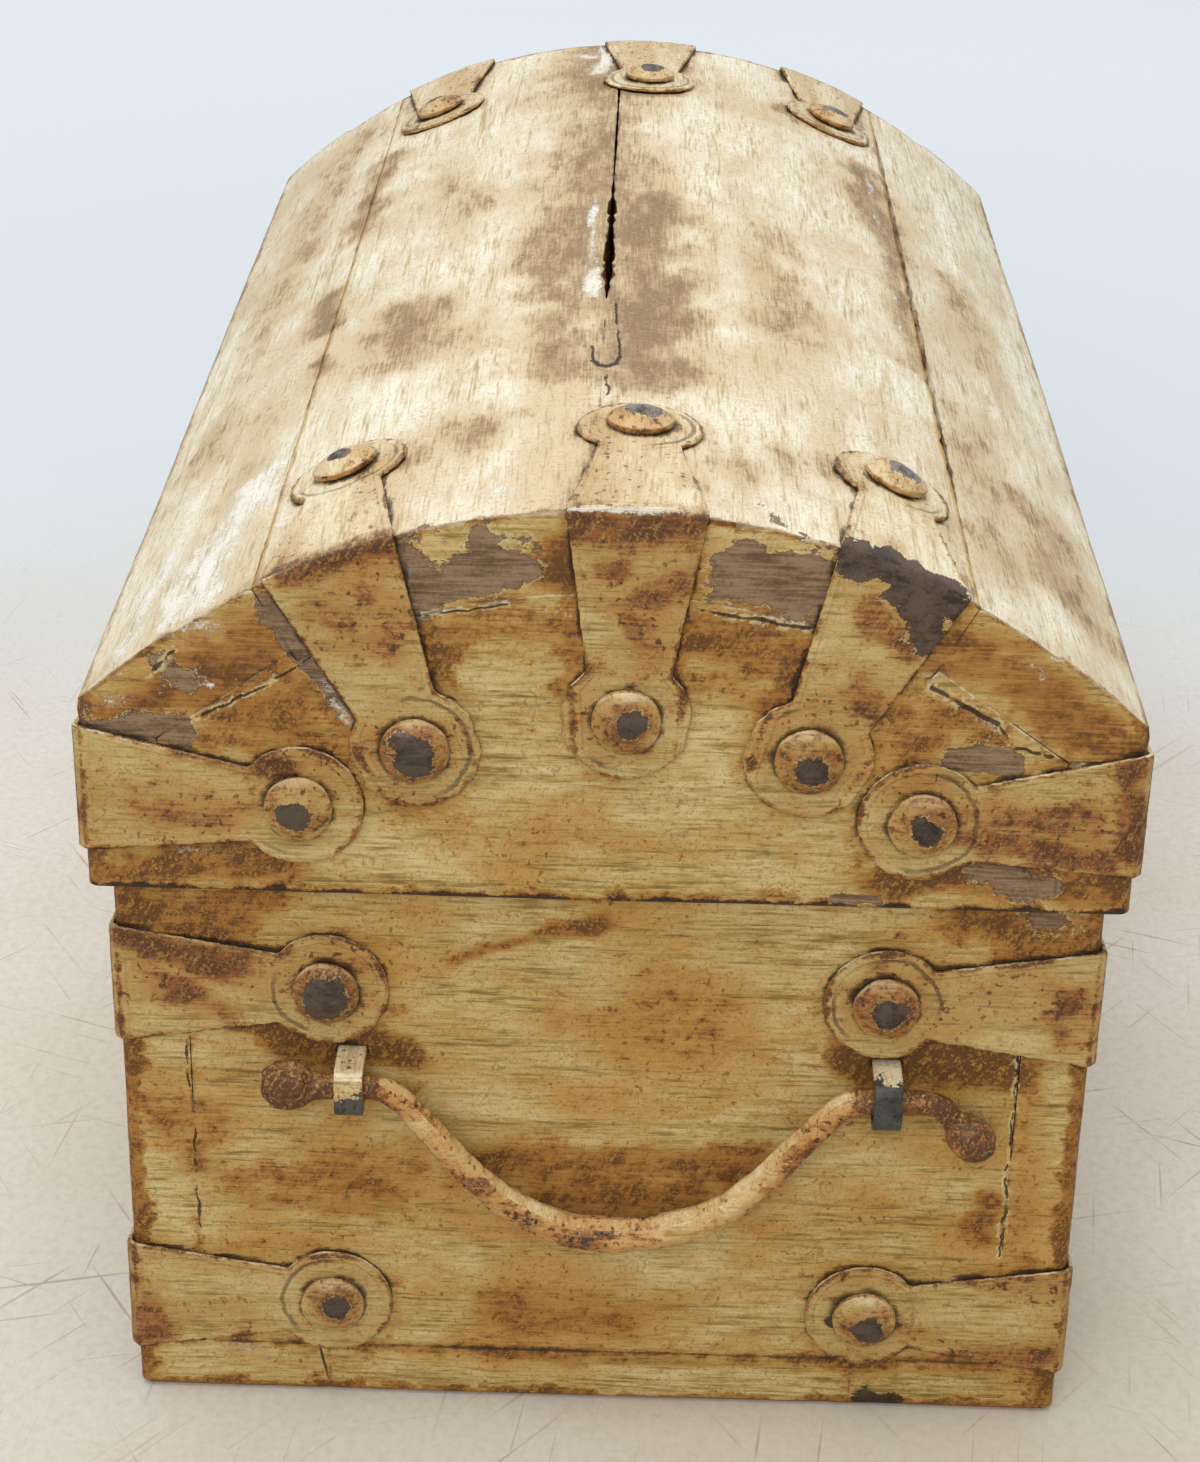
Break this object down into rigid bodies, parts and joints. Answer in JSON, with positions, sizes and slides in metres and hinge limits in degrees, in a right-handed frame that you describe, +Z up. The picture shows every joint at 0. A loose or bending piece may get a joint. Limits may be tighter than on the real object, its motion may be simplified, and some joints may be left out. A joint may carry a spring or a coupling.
{
  "type": "storage chest",
  "caption": "Small dome-topped storage chest of distressed cream-painted boards with folded iron straps, a lid on pinned hinges and swinging bail handles at the ends.",
  "frame": {"origin": "middle of the chest's underside", "axes": "+X along the chest from its left end to its right, -Y towards its front, +Z up"},
  "size_m": [0.371, 0.2221, 0.2125],
  "materials": {
    "painted_wood": "worn ochre-cream paint over brown wood",
    "bleached_wood": "bleached cream paint, worn to brown along the seams",
    "strap_iron": "cream paint over sheet iron, speckled with rust",
    "nail_iron": "forged heads, paint worn off their centres",
    "handle_iron": "forged rod, cream paint worn to rust",
    "bare_iron": "dark rubbed iron"
  },
  "bodies": {
    "carcass": {"carcass_back": "painted_wood", "carcass_eye": "bare_iron", "carcass_front": "painted_wood", "carcass_left_end": "painted_wood", "carcass_nails": "nail_iron", "carcass_right_end": "painted_wood", "carcass_strap_left_back_lower": "strap_iron", "carcass_strap_left_back_upper": "strap_iron", "carcass_strap_left_front_lower": "strap_iron", "carcass_strap_left_front_upper": "strap_iron", "carcass_strap_right_back_lower": "strap_iron", "carcass_strap_right_back_upper": "strap_iron", "carcass_strap_right_front_lower": "strap_iron", "carcass_strap_right_front_upper": "strap_iron", "floor_plank_back": "painted_wood", "floor_plank_front": "painted_wood", "floor_plank_middle": "painted_wood", "hinge_left_lower_leaf": "strap_iron", "hinge_left_pin": "bare_iron", "hinge_right_lower_leaf": "strap_iron", "hinge_right_pin": "bare_iron", "left_handle_clasps": "strap_iron", "right_handle_clasps": "strap_iron"},
    "lid": {"crown_plank_back": "bleached_wood", "crown_plank_front": "bleached_wood", "dome_strap_left_back": "strap_iron", "dome_strap_left_front": "strap_iron", "dome_strap_left_middle": "strap_iron", "dome_strap_right_back": "strap_iron", "dome_strap_right_front": "strap_iron", "dome_strap_right_middle": "strap_iron", "eave_plank_back": "bleached_wood", "eave_plank_front": "bleached_wood", "hinge_left_upper_leaf": "strap_iron", "hinge_right_upper_leaf": "strap_iron", "lid_back_rail": "painted_wood", "lid_eye": "bare_iron", "lid_front_rail": "painted_wood", "lid_left_end": "painted_wood", "lid_nails": "nail_iron", "lid_right_end": "painted_wood", "lid_strap_left_back": "strap_iron", "lid_strap_left_front": "strap_iron", "lid_strap_right_back": "strap_iron", "lid_strap_right_front": "strap_iron"},
    "left_handle": {"left_handle": "handle_iron"},
    "right_handle": {"right_handle": "handle_iron"}
  },
  "joints": [
    {"name": "lid_hinge", "type": "hinge", "parent": "carcass", "child": "lid", "pos_m": [0, 0.1057, 0.125], "axis": [-1, 0, 0], "range_deg": [0, 175]},
    {"name": "left_handle_swing", "type": "hinge", "parent": "carcass", "child": "left_handle", "pos_m": [-0.18, -0.003, 0.0815], "axis": [0, 1, 0], "range_deg": [-1.5, 172]},
    {"name": "right_handle_swing", "type": "hinge", "parent": "carcass", "child": "right_handle", "pos_m": [0.18, -0.003, 0.0815], "axis": [0, -1, 0], "range_deg": [-1.5, 172]}
  ]
}
